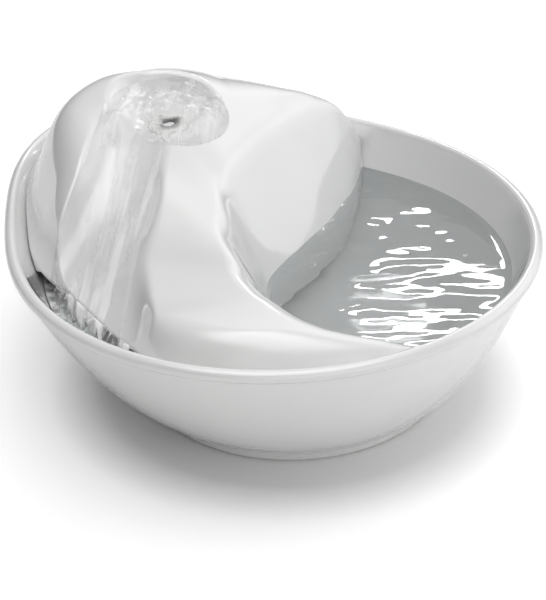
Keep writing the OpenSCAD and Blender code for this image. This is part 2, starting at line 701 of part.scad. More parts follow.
module volute_cover() {
    color("darkslategray") difference() {
        union() {
            along_axis(case_front) difference() {
                cylinder(r = volute_r, h = volute_d);
                translate([0, 0, -1]) cylinder(r = chamber_r, h = chamber_l + 1);
            }
            at_riser(axis_z) difference() {
                union() {
                    translate([0, 0, chamber_r - 1]) cylinder(r = nozzle_r, h = 11.5);
                    translate([0, 0, volute_r + 0.1]) cylinder(r = nozzle_r + 1.4, h = 1.4);
                }
                rotate([-90, 0, 0]) translate([0, 0, case_front - 1])
                    cylinder(r = chamber_r, h = chamber_l + 1);
            }
            along_axis(boss_y) cylinder(r = hub_r + 1.2, h = 2);
            along_axis(volute_d / 2) cylinder(r = pin_r, h = 1.4);
        }
        along_axis(boss_y - 1) cylinder(r = hub_r, h = bush_l + 1.2);
        along_axis(volute_d / 2 - 2) windows(2);
        at_riser(axis_z + chamber_r - 3) cylinder(r = nozzle_r - nozzle_t, h = 20);
        along_axis(case_front) rotate_extrude() translate([seal_ring - seal_r - 0.05, -1])
            square([2 * seal_r + 0.1, 2.05]);
    }
}

module volute_seal() {
    color("black") along_axis(case_front + seal_r + 0.02) rotate_extrude()
        translate([seal_ring, 0]) circle(r = seal_r);
}

module flow_knob() {
    color("teal") along_axis(volute_d / 2 + 0.3) difference() {
        union() {
            cylinder(r = chamber_r, h = 1.2);
            cylinder(r = knob_r, h = knob_h - 0.4);
        }
        windows(2);
        translate([0, 0, -1]) cylinder(r = pin_r + 0.05, h = 2.3);
        for (s = [-1, 1]) translate([s * 2.9 - 1, -knob_r, 1.3]) cube([2, 2 * knob_r, 2]);
    }
}

bowl();
cover();
outlet_grommet();
outlet_nozzle();
outlet_tube();
filter_housing();
housing_lid();
suction_cup(0);  // suction_cup_1
suction_cup(1);  // suction_cup_2
suction_cup(2);  // suction_cup_3
suction_cup(3);  // suction_cup_4
cartridge_frame();
cartridge_grille();
charcoal_pad();
foam_pad();
motor_case();
stator_core();
stator_coil();
potting_block();
cable_gland();
impeller_shaft();
rear_bush();
front_bush();
rotor_magnet();
impeller();
volute_cover();
volute_seal();
flow_knob();
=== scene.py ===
"""Looks of a ceramic pet water fountain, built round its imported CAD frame.

The bowl and the cover are rebuilt as fine meshes from the same formulas and named sizes as the CAD
solids, in millimetres. The water is added here. Every other piece keeps its CAD mesh and gets a finish.
"""
import json
import math
import random

import bmesh
import bpy
import numpy as np
from mathutils import Matrix, Vector, noise
from mathutils.bvhtree import BVHTree


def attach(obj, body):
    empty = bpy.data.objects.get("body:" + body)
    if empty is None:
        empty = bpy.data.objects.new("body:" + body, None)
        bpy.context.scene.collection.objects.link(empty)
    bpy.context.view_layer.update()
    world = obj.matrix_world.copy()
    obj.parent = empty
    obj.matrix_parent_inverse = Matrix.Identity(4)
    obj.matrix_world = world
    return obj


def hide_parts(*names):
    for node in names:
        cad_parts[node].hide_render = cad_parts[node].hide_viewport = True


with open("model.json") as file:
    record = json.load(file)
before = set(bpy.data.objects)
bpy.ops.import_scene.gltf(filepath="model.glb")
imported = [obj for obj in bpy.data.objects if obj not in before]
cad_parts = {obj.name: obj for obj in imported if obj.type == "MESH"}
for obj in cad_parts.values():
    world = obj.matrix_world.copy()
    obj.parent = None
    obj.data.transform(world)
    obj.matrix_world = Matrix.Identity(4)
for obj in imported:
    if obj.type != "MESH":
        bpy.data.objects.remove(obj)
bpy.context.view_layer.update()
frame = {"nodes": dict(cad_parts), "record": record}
MM = 0.001

# ---------- Driving sizes, in millimetres, as in the CAD source ----------
RIM_R, DROP_LEN, DROP_POW, RIM_Z, RIM_W, RIM_LIP = 127.0, 49.0, 22, 80.4, 6.4, 2.4
FOOT_R, FOOT_W, FOOT_HOLLOW = 73.4, 7.0, 4.0
FOOT_C = np.array([4.0, -7.0])
FLOOR_Z, WATER_Z = 11.0, 59.5
WALL_LIN, WALL_POW, FLOOR_BLEND = 0.53, 2.4, 0.12
WALL_Z0, WALL_OUT, UNDER_LIP, INNER_LIP, BOWL_T = 6.3, 2.4, 6.4, 2.4, 4.8
DOME_RISE, COVER_T, EDGE_GAP, SEAT_GAP, SKIRT_H, INLET_H = 47.6, 5.0, 1.5, 0.8, 14.0, 8.0
CREST_ROUND, BROW_ROUND = 8.0, 26.0
ARCH_H, ARCH_A, THIN_SKIRT, LIP_A, LIP_HALF, LIP_FADE = 12.0, 8.0, 1.0, 177.0, 20.0, 16.0
DISH_R, DISH_DEPTH, DISH_RISE = 29.0, 10.0, 32.0
SLIDE_W, SLIDE_DEPTH, SLIDE_FALL, SLIDE_ROUND, SLIDE_FLARE = 42.0, 10.0, 0.44, 3.0, 0.18
SLIDE_A, LIP_GAP, LIP_ROUND, RIGHT_FLARE, HEAD_RISE = 226.0, 19.6, 6.0, 0.65, 0.05
SLIDE_TWIST, TWIST_SKEW = 0.4, 0.35
TUBE_R, TUBE_T, SPIGOT_FIT, GROMMET_T, FLANGE_R, LIFT_FIT = 6.5, 1.5, 0.05, 1.6, 10.0, 0.5
RIM_CY = -DROP_LEN / 2
LIP_REACH = RIM_R - RIM_W - LIP_GAP
SLIDE_P, DISH_C, RISER = (np.array(p) * RIM_R / 100 for p in ((-17.2, 64.8), (-10.2, 58), (-12.6, 53.54)))
SLIDE_START, TWIST_FROM, TWIST_TO, FLARE_FROM, TWIST_BLEND = (
    v * RIM_R / 100 for v in (9.5, 35.5, 71, 39.5, 8))
WALL_R0 = FOOT_R + WALL_OUT
INNER_R0 = WALL_R0 - BOWL_T
DISH_Z = RIM_Z + DISH_RISE
CREST_SHARE, BROW_TOP, BROW_SIDE, WALL_SHARE, THIN_SIDE = 0.45, 0.5, 0.6, 0.45, 0.35
POOL_DIP, CUT_ROUND, SLIDE_DIP, SLIDE_SQUARE, INNER_DROP = 4.0, 3.0, 2.0, 0.6, 1.1
INLET_FROM, INLET_SPAN, INLET_POW, ARCH_POW = 0.2, 0.45, 0.6, 0.7

# ---------- Profiles of the bowl, in millimetres ----------
# Foot: distance out from the foot's outer radius, height
FOOT_PROFILE = ((-FOOT_W - 3, FOOT_HOLLOW), (-FOOT_W - 0.8, FOOT_HOLLOW - 0.4), (-FOOT_W, 1.2),
                (-FOOT_W + 0.5, 0.35), (-FOOT_W + 1.4, 0), (-3.5, 0), (-1.9, 0), (-0.6, 0.5), (0, 1.6),
                (0.5, 3), (1, 4.2), (1.6, 5.4))
# Lip: share of the lip's or the rim's width inward, height from the rim
OUTER_LIP = ((0.9, -5.9), (0.45, -5.2), (0.13, -4.3), (0.05, -3.4), (0.08, -2.4), (0.25, -1.5), (0.6, -0.8),
             (1, -0.35))
TOP_LIP = ((0.5, 0), (0.66, -0.15), (0.8, -0.6), (0.92, -1.4))
BARE_HEIGHT, BARE_TILT = 0.0009, 0.4     # faces of the foot that stand on the ground, in metres

# ---------- Water, in millimetres ----------
RIPPLE_A = -32.5      # direction along the ripples' crests, in degrees in the rim's frame
SWELL, CREST, CHOP, MENISCUS = 0.3, 0.24, 0.06, 0.7
CALM, CALM_FROM, CALM_AWAY, CALM_FADE = 0.8, 75.0, -40.0, 30.0
CHURN, CHURN_FROM, CHURN_FADE = 1.6, 14.0, 12.0
WATER_R, SPILL_R, MOUND_Z, MOUND_TOP, MOUND_END = 29.5, 21.0, 122.5, 127.2, 28.0
JET, JET_R, LUMPS, SKIN = 3.5, 12.0, 3.2, 0.12
FILM_T, SUNK, FILM_LEFT, FILM_RIGHT = 1.2, 0.4, 19.5, -14.0
LEFT_SPREAD, RIGHT_SPREAD, LEFT_ROUND, RIGHT_ROUND = 0.7, 0.4, 6.0, 10.0
GAP_FROM, GAP_TO, GAP_SPAN = -LIP_REACH + 3, -LIP_REACH - 13, (-38.0, 30.0)
BUBBLE_SEED, BUBBLE_MIN, BUBBLE_MORE = 7, 0.45, 1.5

# ---------- Camera, light and floor ----------
CAMERA_AZIMUTH, CAMERA_ELEVATION, CAMERA_ROLL = 32.5, 30.702, -1.7098
CAMERA_DISTANCE, FOCAL_PX, FRAME_H, SENSOR_H = 1000.0, 2055.76, 600, 36
TARGET = np.array([-1.842, 1.173, 42.007])
EVEN_LIGHT = 0.01
# azimuth and elevation of the middle, inner and outer half angle, strength
SOFT_BOXES = ((0, 88, 5, 30, 2.35), (-75, 15, 5, 40, 1.3), (-112, 34, 3, 24, 0.35), (-136, 36, 3, 24, 0.4),
              (-150, 50, 5, 60, 0.55), (-110, 55, 5, 40, 0.4), (180, 60, 5, 40, 0.2), (10, 20, 5, 50, 1.2),
              (80, 60, 5, 40, 0.15))
# the window is seen mirrored in the pool: azimuth, elevation, distance, size, power, the spot that it faces
WINDOW = (218.0, 30.6, 1.7, (0.20, 0.046), 0.85, (0.0495, -0.091, 0.0595))
FLOOR_SIZE, FLOOR_LIFT, LIFT_FROM, LIFT_TO = 12, 0.3, 0.092, 0.122

# Sections of the cover: pool edge x, y,  crest x, y, height,  brow x, y, height,  rim angle, extra inset,
# edge height, brow rounding. Lengths are in hundredths of RIM_R, heights in hundredths of DOME_RISE.
SECTIONS = np.array([
    [76, 50, 76, 52, -11, 77, 55, -12, 37, 0, -14, 100],
    [70, 43, 67, 53, 31, 65, 59, 33, 46, 0, -7, 100],
    [62, 35, 58, 51, 41, 54, 58, 56, 56, 0, -7, 100],
    [50, 26, 43, 46, 50, 42, 61, 71, 66, 0, -7, 100],
    [37, 17, 26, 39, 55, 30, 69, 85, 77, 0, -7, 100],
    [22, 9, 11, 32, 55, 16, 77, 100, 87, 0, -7, 100],
    [6, 1, -4, 23, 53, -2, 84, 111, 98, 0, -7, 100],
    [-6, -7, -14, 13, 46, -20, 92, 111, 111, 1, -7, 100],
    [-13, -16, -21, 1, 40, -39, 90, 94, 126, 2, -9, 100],
    [-17, -25, -28, -10, 34, -54, 59, 72, 142, 3, -18, 80],
    [-19, -35, -32, -23, 29, -66, 44, 43, 157, 4, -24, 60],
    [-20, -43, -35, -32, 24, -77, 24, 14, 171, 4, -24, 25],
    [-20, -51, -36, -42, 22, -76, -12, 8, 187, 3, -24, 25],
    [-18, -59, -35, -51, 20, -73, -38, 14, 205, 1, -18, 60],
    [-15, -66, -33, -61, 16, -63, -57, 16, 221, 0, -16, 100],
    [-10, -72, -28, -69, 10, -46, -69, 14, 236, 0, -16, 100],
    [-5, -78, -20, -76, 2, -29, -79, 5, 249, 0, -16, 100],
    [2, -83, -11, -83, -6, -13, -86, -6, 259, 0, -16, 100],
    [6, -87, -2, -87, -16, -2, -89, -16, 265, 1, -20, 100]], float)


# ---------- Shape functions of the bowl and the cover ----------
def polar(r, a):
    """Points at a radius and an angle in degrees."""
    return np.stack([r * np.cos(np.radians(a)), r * np.sin(np.radians(a))], -1)


def drop_r(a, inset):
    """Radius of the drop-shaped rim at an angle, less an inset."""
    return RIM_R + DROP_LEN * np.abs(np.cos(np.radians((a - 90) / 2))) ** DROP_POW - inset


def rise(q):
    """Share of the wall's height at a share q of its way out."""
    return WALL_LIN * q + (1 - WALL_LIN) * np.maximum(q, 0) ** WALL_POW


def soft(q):
    """The share q, blended softly into the flat floor below zero."""
    blended = (q + FLOOR_BLEND) ** 2 / (4 * FLOOR_BLEND)
    return np.where(q <= -FLOOR_BLEND, 0, np.where(q >= FLOOR_BLEND, q, blended))


def outer_z(q):
    return WALL_Z0 + (RIM_Z - UNDER_LIP - WALL_Z0) * rise(q)


def inner_z(q):
    return FLOOR_Z + (RIM_Z - INNER_LIP - FLOOR_Z) * rise(soft(q))


def wrap(a):
    """Angle in degrees within half a turn of the drop's point."""
    return (a - 90 + 180) % 360 - 90


def bowl_floor(p):
    """Height of the bowl's inner surface under points in the rim's frame."""
    q = np.full(p.shape[:-1], 0.5)
    for _ in range(4):
        d = p - FOOT_C * (1 - q)[..., None]
        a = wrap(np.degrees(np.arctan2(d[..., 1], d[..., 0])))
        q = (np.hypot(d[..., 0], d[..., 1]) - INNER_R0) / (drop_r(a, RIM_W) - INNER_R0)
    return inner_z(q)


def section_at(t):
    """Catmull-Rom curve through the sections, at t from 0 to 1."""
    last = len(SECTIONS) - 1
    i = min(int(t * last), last - 1)
    f = t * last - i
    p0, p1, p2, p3 = (SECTIONS[min(max(k, 0), last)] for k in (i - 1, i, i + 1, i + 2))
    return (2 * p1 + (p2 - p0) * f + (2 * p0 - 5 * p1 + 4 * p2 - p3) * f ** 2
            + (3 * p1 - p0 - 3 * p2 + p3) * f ** 3) / 2


def cord_arch(a):
    """Height of the cord's arch over the rim at an angle."""
    return ARCH_H * max(0.0, math.cos(math.radians(min(90, abs(a - 90) * 90 / ARCH_A)))) ** ARCH_POW


def edge_at(s):
    """Plan position of the outer edge, cut straight along the slide's lip."""
    o = polar(drop_r(s[8], RIM_W + EDGE_GAP + s[9] * RIM_R / 100), s[8])
    x = -float(smooth_min(-o[0], LIP_REACH, LIP_ROUND))
    return np.array([x, o[1]])


def skirt_at(t):
    """Height of the outer skirt: it gives way to the cord's arch and over the slide's lip."""
    a = section_at(t)[8]
    past_lip = float(ease((abs(a - LIP_A) - LIP_HALF) / LIP_FADE))
    return max(THIN_SKIRT, SKIRT_H * past_lip - cord_arch(a))


def corners(t):
    """Pool edge, crest, brow and outer edge of the cover's section at t."""
    s = section_at(t)
    o = edge_at(s)
    xy = s * RIM_R / 100
    z = RIM_Z + DOME_RISE * s / 100
    return np.array([[xy[0], xy[1], WATER_Z - POOL_DIP], [xy[2], xy[3], z[4]], [xy[5], xy[6], z[7]],
                     [o[0], o[1], z[10] + cord_arch(s[8])]])


def wall_at(c):
    """Wall of the cover at a section, thinner where the crest and brow are close."""
    return min(COVER_T, WALL_SHARE * np.linalg.norm(c[2] - c[1]))


def inward(p, q):
    """Unit normal of the run from p to q, towards the inside of the cover."""
    d = q - p
    h = math.hypot(d[0], d[1])
    n = np.array([d[2] * d[0] / h, d[2] * d[1] / h, -h])
    return n / np.linalg.norm(n)


def inner_corners(c):
    """The section's corners, moved inward by the wall."""
    t = wall_at(c)
    n = [inward(c[i], c[i + 1]) for i in range(3)]
    h1, h3 = n[0] * (1, 1, 0), n[2] * (1, 1, 0)
    return np.array([c[0] + h1 * t / (h1 @ h1), c[1] + (n[0] + n[1]) / (1 + n[0] @ n[1]) * t,
                     c[2] + (n[1] + n[2]) / (1 + n[1] @ n[2]) * t, c[3] + h3 * t / max(THIN_SIDE, h3 @ h3)])


def bezier(p, m, q, k):
    t = (np.arange(k) / k)[:, None]
    return p * (1 - t) ** 2 + 2 * m * t * (1 - t) + q * t ** 2


def run(p, q, k):
    return p + (q - p) * (np.arange(k) / k)[:, None]


def section_curve(c, brow, fine):
    """A section as straight runs joined by round corners, with fine times the CAD's points."""
    lw, lt, lo = (np.linalg.norm(c[i + 1] - c[i]) for i in range(3))
    a = min(CREST_ROUND, CREST_SHARE * lw, CREST_SHARE * lt)
    b = min(brow, BROW_TOP * lt, BROW_SIDE * lo)
    uw, ut, uo = (c[1] - c[0]) / lw, (c[2] - c[1]) / lt, (c[3] - c[2]) / lo
    return np.vstack([run(c[0], c[1] - uw * a, 4 * fine),
                      bezier(c[1] - uw * a, c[1], c[1] + ut * a, 4 * fine),
                      run(c[1] + ut * a, c[2] - ut * b, 8 * fine),
                      bezier(c[2] - ut * b, c[2], c[2] + uo * b, 5 * fine),
                      run(c[2] + uo * b, c[3], 5 * fine), c[3:]])


def smooth_min(a, b, k):
    h = np.maximum(k - np.abs(a - b), 0) / k
    return np.minimum(a, b) - h * h * k / 4


def ease(t):
    t = np.clip(t, 0, 1)
    return t * t * (3 - 2 * t)


def along_slide(p):
    """Distance along the slide from its head, and across it from its middle."""
    d = p - SLIDE_P
    return d @ polar(1.0, SLIDE_A), d @ polar(1.0, SLIDE_A - 90)


def slide_z(p):
    """Height of the slide's trough under points in the rim's frame."""
    a, c = along_slide(p)
    flare = np.where(c > 0, 1, RIGHT_FLARE) * SLIDE_FLARE * np.maximum(a - FLARE_FROM, 0)
    w = np.abs(c) / (SLIDE_W / 2 + flare)
    skew = 1 + TWIST_SKEW * c / (np.abs(c) + TWIST_BLEND)
    turned = ease((a - TWIST_FROM) / (TWIST_TO - TWIST_FROM)) * skew
    trough = SLIDE_SQUARE * w ** 2 + (1 - SLIDE_SQUARE) * w ** 6
    return (DISH_Z + SLIDE_DIP - SLIDE_FALL * np.maximum(0, a - SLIDE_START) - SLIDE_TWIST * turned * c
            + HEAD_RISE * np.maximum(0, SLIDE_START - a) ** 2 + SLIDE_DEPTH * trough)


def dish_surface(p):
    return DISH_Z + DISH_DEPTH * (np.linalg.norm(p - DISH_C, axis=-1) / DISH_R) ** 4


def cut_z(p):
    """Height of the dish and the slide together."""
    return smooth_min(slide_z(p), dish_surface(p), CUT_ROUND)


def carved(points, drop):
    """Points lowered to the dish and the slide where they stand over them."""
    p = points.copy()
    p[:, 2] = smooth_min(p[:, 2], cut_z(p[:, :2]) - drop, SLIDE_ROUND)
    return p


def inlet(t):
    """Height of the slot under the pool wall."""
    along = max(0, min(1, (t - INLET_FROM) / INLET_SPAN))
    return INLET_H * max(0.0, math.sin(math.pi * along)) ** INLET_POW


def clear(points):
    """Points raised clear of the bowl's floor."""
    p = points.copy()
    p[:, 2] = np.maximum(p[:, 2], bowl_floor(p[:, :2]) + SEAT_GAP + 1)
    return p


def foot(p, z):
    """Point at height z, or just above the bowl's floor where that is higher."""
    return np.array([p[0], p[1], max(z, float(bowl_floor(p[None, :2])[0]) + SEAT_GAP)])


def pool_foot(p, t):
    """Lower edge of the pool wall under a point."""
    return foot(p, min(p[2] - 1, float(bowl_floor(p[None, :2])[0]) + SEAT_GAP + inlet(t)))


def cover_loop(t, fine):
    """Closed outline of the cover's section at t: outside, skirt, inside."""
    c = corners(t)
    d = inner_corners(c)
    brow = BROW_ROUND * section_at(t)[11] / 100
    outer = clear(carved(section_curve(c, brow, fine), 0))
    inner = clear(carved(section_curve(d, brow, fine), wall_at(c) * INNER_DROP))
    low = outer[-1][2] - skirt_at(t)
    skirt = [foot(outer[-1], low), foot(inner[-1], low)]
    return np.vstack([pool_foot(outer[0], t), outer, skirt, inner[::-1], pool_foot(inner[0], t)])


# ---------- Mesh building ----------
def place(points):
    """Points in millimetres in the rim's frame, as metres in the object's frame."""
    return (np.asarray(points) + (0, RIM_CY, 0)) * MM


def mesh_piece(name, points, faces, body, material, angle=0):
    """Smooth piece that rides on a body, with sharp edges over an angle if one is given."""
    mesh = bpy.data.meshes.new(name)
    mesh.from_pydata([tuple(p) for p in place(points)], [], faces)
    work = bmesh.new()
    work.from_mesh(mesh)
    bmesh.ops.recalc_face_normals(work, faces=work.faces)
    work.to_mesh(mesh)
    work.free()
    mesh.shade_smooth()
    piece = bpy.data.objects.new(name, mesh)
    bpy.context.scene.collection.objects.link(piece)
    mesh.materials.append(material)
    if angle:
        mesh.set_sharp_from_angle(angle=math.radians(angle))
    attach(piece, body)
    return piece


def grid_faces(rows, cols, closed=True):
    """Quads between rows of points; closed rows meet their own start."""
    span = cols if closed else cols - 1
    return [(i * cols + j, i * cols + (j + 1) % cols, (i + 1) * cols + (j + 1) % cols, (i + 1) * cols + j)
            for i in range(rows - 1) for j in range(span)]


# ---------- Materials ----------
class Finish:
    """A material being built from nodes, with its Principled shader ready."""

    def __init__(self, name, color, roughness, **sockets):
        self.material = bpy.data.materials.new(name)
        self.material.use_nodes = True
        self.tree = self.material.node_tree
        self.shader = self.tree.nodes["Principled BSDF"]
        self.output = self.tree.nodes["Material Output"]
        self.shader.inputs["Base Color"].default_value = (*color, 1)
        self.shader.inputs["Roughness"].default_value = roughness
        for socket, value in sockets.items():
            self.shader.inputs[socket.replace("_", " ")].default_value = value
        self.where = self.node("ShaderNodeTexCoord").outputs["Object"]

    def node(self, kind, inputs=None, **settings):
        made = self.tree.nodes.new(kind)
        for key, value in settings.items():
            setattr(made, key, value)
        for key, value in (inputs or {}).items():
            if isinstance(value, bpy.types.NodeSocket):
                self.tree.links.new(value, made.inputs[key])
            else:
                made.inputs[key].default_value = value
        return made

    def link(self, source, target):
        self.tree.links.new(source, target)

    def noise(self, scale, detail=4.0, roughness=0.55, where=None):
        made = self.node("ShaderNodeTexNoise", {"Scale": scale, "Detail": detail, "Roughness": roughness})
        self.link(where or self.where, made.inputs["Vector"])
        return made.outputs["Fac"]

    def grain(self, size, turn):
        """Coordinates for noise of the given size in metres, turned about the vertical."""
        inputs = {"Rotation": (0, 0, turn), "Scale": size}
        mapping = self.node("ShaderNodeMapping", inputs, vector_type="TEXTURE")
        self.link(self.where, mapping.inputs["Vector"])
        return mapping.outputs["Vector"]

    def maths(self, operation, *values):
        return self.node("ShaderNodeMath", dict(enumerate(values)), operation=operation).outputs["Value"]

    def distance(self, point, where=None):
        inputs = {0: where or self.where, 1: point}
        return self.node("ShaderNodeVectorMath", inputs, operation="DISTANCE").outputs["Value"]

    def remap(self, value, start, end, low, high, kind="SMOOTHSTEP"):
        """A value's range from start to end, as one from low to high."""
        inputs = {"Value": value, "From Min": start, "From Max": end, "To Min": low, "To Max": high}
        return self.node("ShaderNodeMapRange", inputs, interpolation_type=kind).outputs["Result"]

    def ramp(self, value, low, high, start=0.3, end=0.7):
        made = self.node("ShaderNodeValToRGB")
        made.color_ramp.elements[0].position = start
        made.color_ramp.elements[1].position = end
        made.color_ramp.elements[0].color = (*low, 1)
        made.color_ramp.elements[1].color = (*high, 1)
        self.link(value, made.inputs["Fac"])
        return made.outputs["Color"]

    def vary(self, value, low, high, start=0.3, end=0.7):
        self.link(self.ramp(value, low, high, start, end), self.shader.inputs["Base Color"])

    def rough(self, value, low, high):
        self.link(self.remap(value, 0.3, 0.7, low, high, "LINEAR"), self.shader.inputs["Roughness"])

    def bump(self, height, distance, strength=1.0, before=None):
        made = self.node("ShaderNodeBump", {"Height": height, "Distance": distance, "Strength": strength})
        if before is not None:
            self.link(before, made.inputs["Normal"])
        self.link(made.outputs["Normal"], self.shader.inputs["Normal"])
        return made.outputs["Normal"]


def glaze():
    """White glaze: clear coat over a white body, with the faint waviness and pooling of a dipped glaze."""
    f = Finish("glazed_ceramic", (0.8, 0.8, 0.8), 0.12, Coat_Weight=1.0, Coat_Roughness=0.03, Coat_IOR=1.6)
    broad = f.noise(16, 2.0)
    f.vary(broad, (0.80, 0.80, 0.805), (0.835, 0.835, 0.83))
    wave = f.bump(f.noise(55, 1.0), 0.00025, 0.35)
    f.bump(f.noise(900, 2.0), 0.00002, 0.3, before=wave)
    f.rough(f.noise(40, 3.0), 0.1, 0.16)
    return f.material


def biscuit():
    """Bare fired clay on the foot ring, where the glaze is wiped off."""
    f = Finish("biscuit_foot", (0.72, 0.69, 0.64), 0.75)
    f.vary(f.noise(300, 6.0), (0.66, 0.63, 0.58), (0.78, 0.75, 0.7))
    f.bump(f.noise(1800, 4.0), 0.0001, 0.5)
    return f.material


def moulded(name, color, roughness, grain=900, depth=0.00003, spread=0.12):
    """Moulded plastic or rubber with a fine spark-eroded grain and slight colour variation."""
    f = Finish(name, color, roughness)
    low = tuple(c * (1 - spread) for c in color)
    high = tuple(min(1, c * (1 + spread)) for c in color)
    f.vary(f.noise(60, 5.0), low, high)
    f.bump(f.noise(grain, 3.0), depth, 0.6)
    f.rough(f.noise(120, 3.0), roughness * 0.85, min(1, roughness * 1.15))
    return f.material


def nozzle_with_bore_shade():
    """White plastic of the outlet, with painted shade inside its bore where the water comes up."""
    f = Finish("outlet_plastic", (0.8, 0.8, 0.78), 0.35)
    flat = f.node("ShaderNodeVectorMath", {0: f.where, 1: (1, 1, 0)}, operation="MULTIPLY")
    out = f.distance(Vector(place((*RISER, 0))), flat.outputs["Vector"])
    # Inside the bore's radius the white plastic is painted near black: painted shade in the hole.
    f.vary(out, (0.05, 0.05, 0.05), (0.8, 0.8, 0.78), 0.0052, 0.0062)
    f.bump(f.noise(900, 3.0), 0.00003, 0.6)
    return f.material


def vinyl():
    """Clear vinyl tube, slightly cloudy."""
    f = Finish("clear_vinyl", (0.86, 0.9, 0.9), 0.12, Transmission_Weight=0.75, IOR=1.45)
    f.vary(f.noise(80, 3.0), (0.8, 0.85, 0.86), (0.9, 0.93, 0.93))
    f.bump(f.noise(200, 2.0), 0.00005, 0.3)
    return f.material


def laminations():
    """Steel core made of thin plates, seen as fine lines across it."""
    f = Finish("core_steel", (0.45, 0.45, 0.47), 0.35, Metallic=1.0)
    plates = f.node("ShaderNodeTexWave", {"Scale": 320.0, "Distortion": 0.4}, bands_direction="Y")
    f.link(f.where, plates.inputs["Vector"])
    f.vary(plates.outputs["Fac"], (0.3, 0.3, 0.31), (0.55, 0.55, 0.57))
    f.bump(plates.outputs["Fac"], 0.0001, 0.6)
    return f.material


def winding():
    """Enamelled copper wire wound side by side."""
    f = Finish("coil_copper", (0.55, 0.25, 0.1), 0.28, Metallic=0.9, Coat_Weight=0.5)
    turns = f.node("ShaderNodeTexWave", {"Scale": 500.0, "Distortion": 0.6}, bands_direction="X")
    f.link(f.where, turns.inputs["Vector"])
    f.vary(turns.outputs["Fac"], (0.3, 0.12, 0.05), (0.72, 0.36, 0.16))
    f.bump(turns.outputs["Fac"], 0.0002, 0.8)
    return f.material


def open_cells(name, dark, light, scale, depth):
    """Foam or pressed charcoal: cells or grains of a given scale, with painted shade in their pits."""
    f = Finish(name, light, 0.9)
    cells = f.node("ShaderNodeTexVoronoi", {"Scale": scale})
    f.link(f.where, cells.inputs["Vector"])
    # Darker where the bump sinks into the cells: painted shade in the pits.
    f.vary(cells.outputs["Distance"], dark, light, 0.05, 0.6)
    f.bump(cells.outputs["Distance"], depth, 0.9)
    return f.material


def foam_and_highlight_streaks(f):
    """Share of white in running water, partly bubbles and partly painted highlights: streaks down the
    slide, and froth over the outlet.
    """
    turn = math.radians(SLIDE_A)
    long = f.noise(1.0, 2.0, 0.4, f.grain((0.09, 0.009, 0.09), turn))
    short = f.noise(0.35, 2.0, 0.5, f.grain((0.016, 0.0035, 0.01), turn))
    # White streaks down the slide: partly foam, partly painted highlights where the water's gloss would
    # shine.
    share = f.remap(f.maths("MULTIPLY_ADD", short, 0.4, long), 0.66, 0.84, 0.0, 0.9)
    near = f.remap(f.distance(Vector(place((*RISER, MOUND_Z)))), 0.03, 0.016, 0.0, 1.0)
    # White froth patches over the outlet: partly bubbles, partly painted highlights of the bubbling water.
    patches = f.remap(f.noise(130, 3.0, 0.6), 0.5, 0.64, 0.0, 0.85)
    return f.maths("MAXIMUM", share, f.maths("MULTIPLY", near, patches))


def foam_in_gap(f):
    """Share of bubbles in the pool, where the slide's water falls in beside the bowl's wall."""
    side = f.node("ShaderNodeSeparateXYZ", {"Vector": f.where})
    near = f.remap(side.outputs["X"], -0.086, -0.1, 0.0, 1.0)
    patches = f.remap(f.noise(170, 4.0, 0.65), 0.4, 0.62, 0.25, 0.9, "LINEAR")
    return f.maths("MULTIPLY", near, patches)


def water(name, tint, clear_weight, foam, shade):
    """Water that bends light, and lets lamps shine through to what is under it."""
    f = Finish(name, tint, 0.02, Transmission_Weight=clear_weight, IOR=1.333)
    f.vary(f.noise(30, 2.0), tuple(t * 0.97 for t in tint), tuple(min(1, t * 1.03) for t in tint))
    surface = f.shader.outputs["BSDF"]
    if foam:
        # The white mix is foam in the gap. Down the slide it is partly painted highlights, after the mask
        # that is passed in.
        white = f.node("ShaderNodeBsdfDiffuse", {"Color": (0.95, 0.95, 0.95, 1)})
        foam_and_highlight_mix = f.node("ShaderNodeMixShader", {0: foam(f)})
        f.link(surface, foam_and_highlight_mix.inputs[1])
        f.link(white.outputs["BSDF"], foam_and_highlight_mix.inputs[2])
        surface = foam_and_highlight_mix.outputs["Shader"]
    path = f.node("ShaderNodeLightPath")
    through = f.node("ShaderNodeBsdfTransparent", {"Color": (*shade, 1)})
    mix = f.node("ShaderNodeMixShader", {0: path.outputs["Is Shadow Ray"]})
    f.link(surface, mix.inputs[1])
    f.link(through.outputs["BSDF"], mix.inputs[2])
    f.link(mix.outputs["Shader"], f.output.inputs["Surface"])
    return f.material


# ---------- Bowl ----------
def bowl_rings():
    """Rings from the foot's hollow over the rim to the floor: share, radius, inset, height."""
    rings = [(0, FOOT_R + out, 0, z) for out, z in FOOT_PROFILE]
    rings += [(q, WALL_R0, RIM_LIP, float(outer_z(q))) for q in np.linspace(0, 1, 33)]
    rings += [(1, 0, RIM_LIP * k, RIM_Z + z) for k, z in OUTER_LIP]
    rings += [(1, 0, RIM_W * k, RIM_Z + z) for k, z in TOP_LIP]
    rings += [(q, INNER_R0, RIM_W, float(inner_z(q))) for q in np.linspace(1, -0.14, 49)]
    return rings


def make_bowl(steps=288):
    """The glazed bowl, with bare clay under its foot."""
    a = np.arange(steps) * 360 / steps
    rings = bowl_rings()
    points = []
    for share, radius, inset, z in rings:
        xy = (FOOT_C + polar(radius, a)) * (1 - share) + polar(drop_r(wrap(a), inset), a) * share
        points.append(np.column_stack([xy, np.full(steps, z)]))
    points = np.vstack(points)
    n = len(points)
    points = np.vstack([points, [[*FOOT_C, FOOT_HOLLOW], [*FOOT_C, FLOOR_Z]]])
    faces = grid_faces(len(rings), steps)
    top = n - steps
    faces += [(n, (k + 1) % steps, k) for k in range(steps)]
    faces += [(n + 1, top + k, top + (k + 1) % steps) for k in range(steps)]
    bowl = mesh_piece("bowl_glazed", points, faces, "bowl", GLAZE)
    bowl.data.materials.append(BISCUIT)
    for face in bowl.data.polygons:
        if face.center.z < BARE_HEIGHT and abs(face.normal.z) > BARE_TILT:
            face.material_index = 1
    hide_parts("bowl")


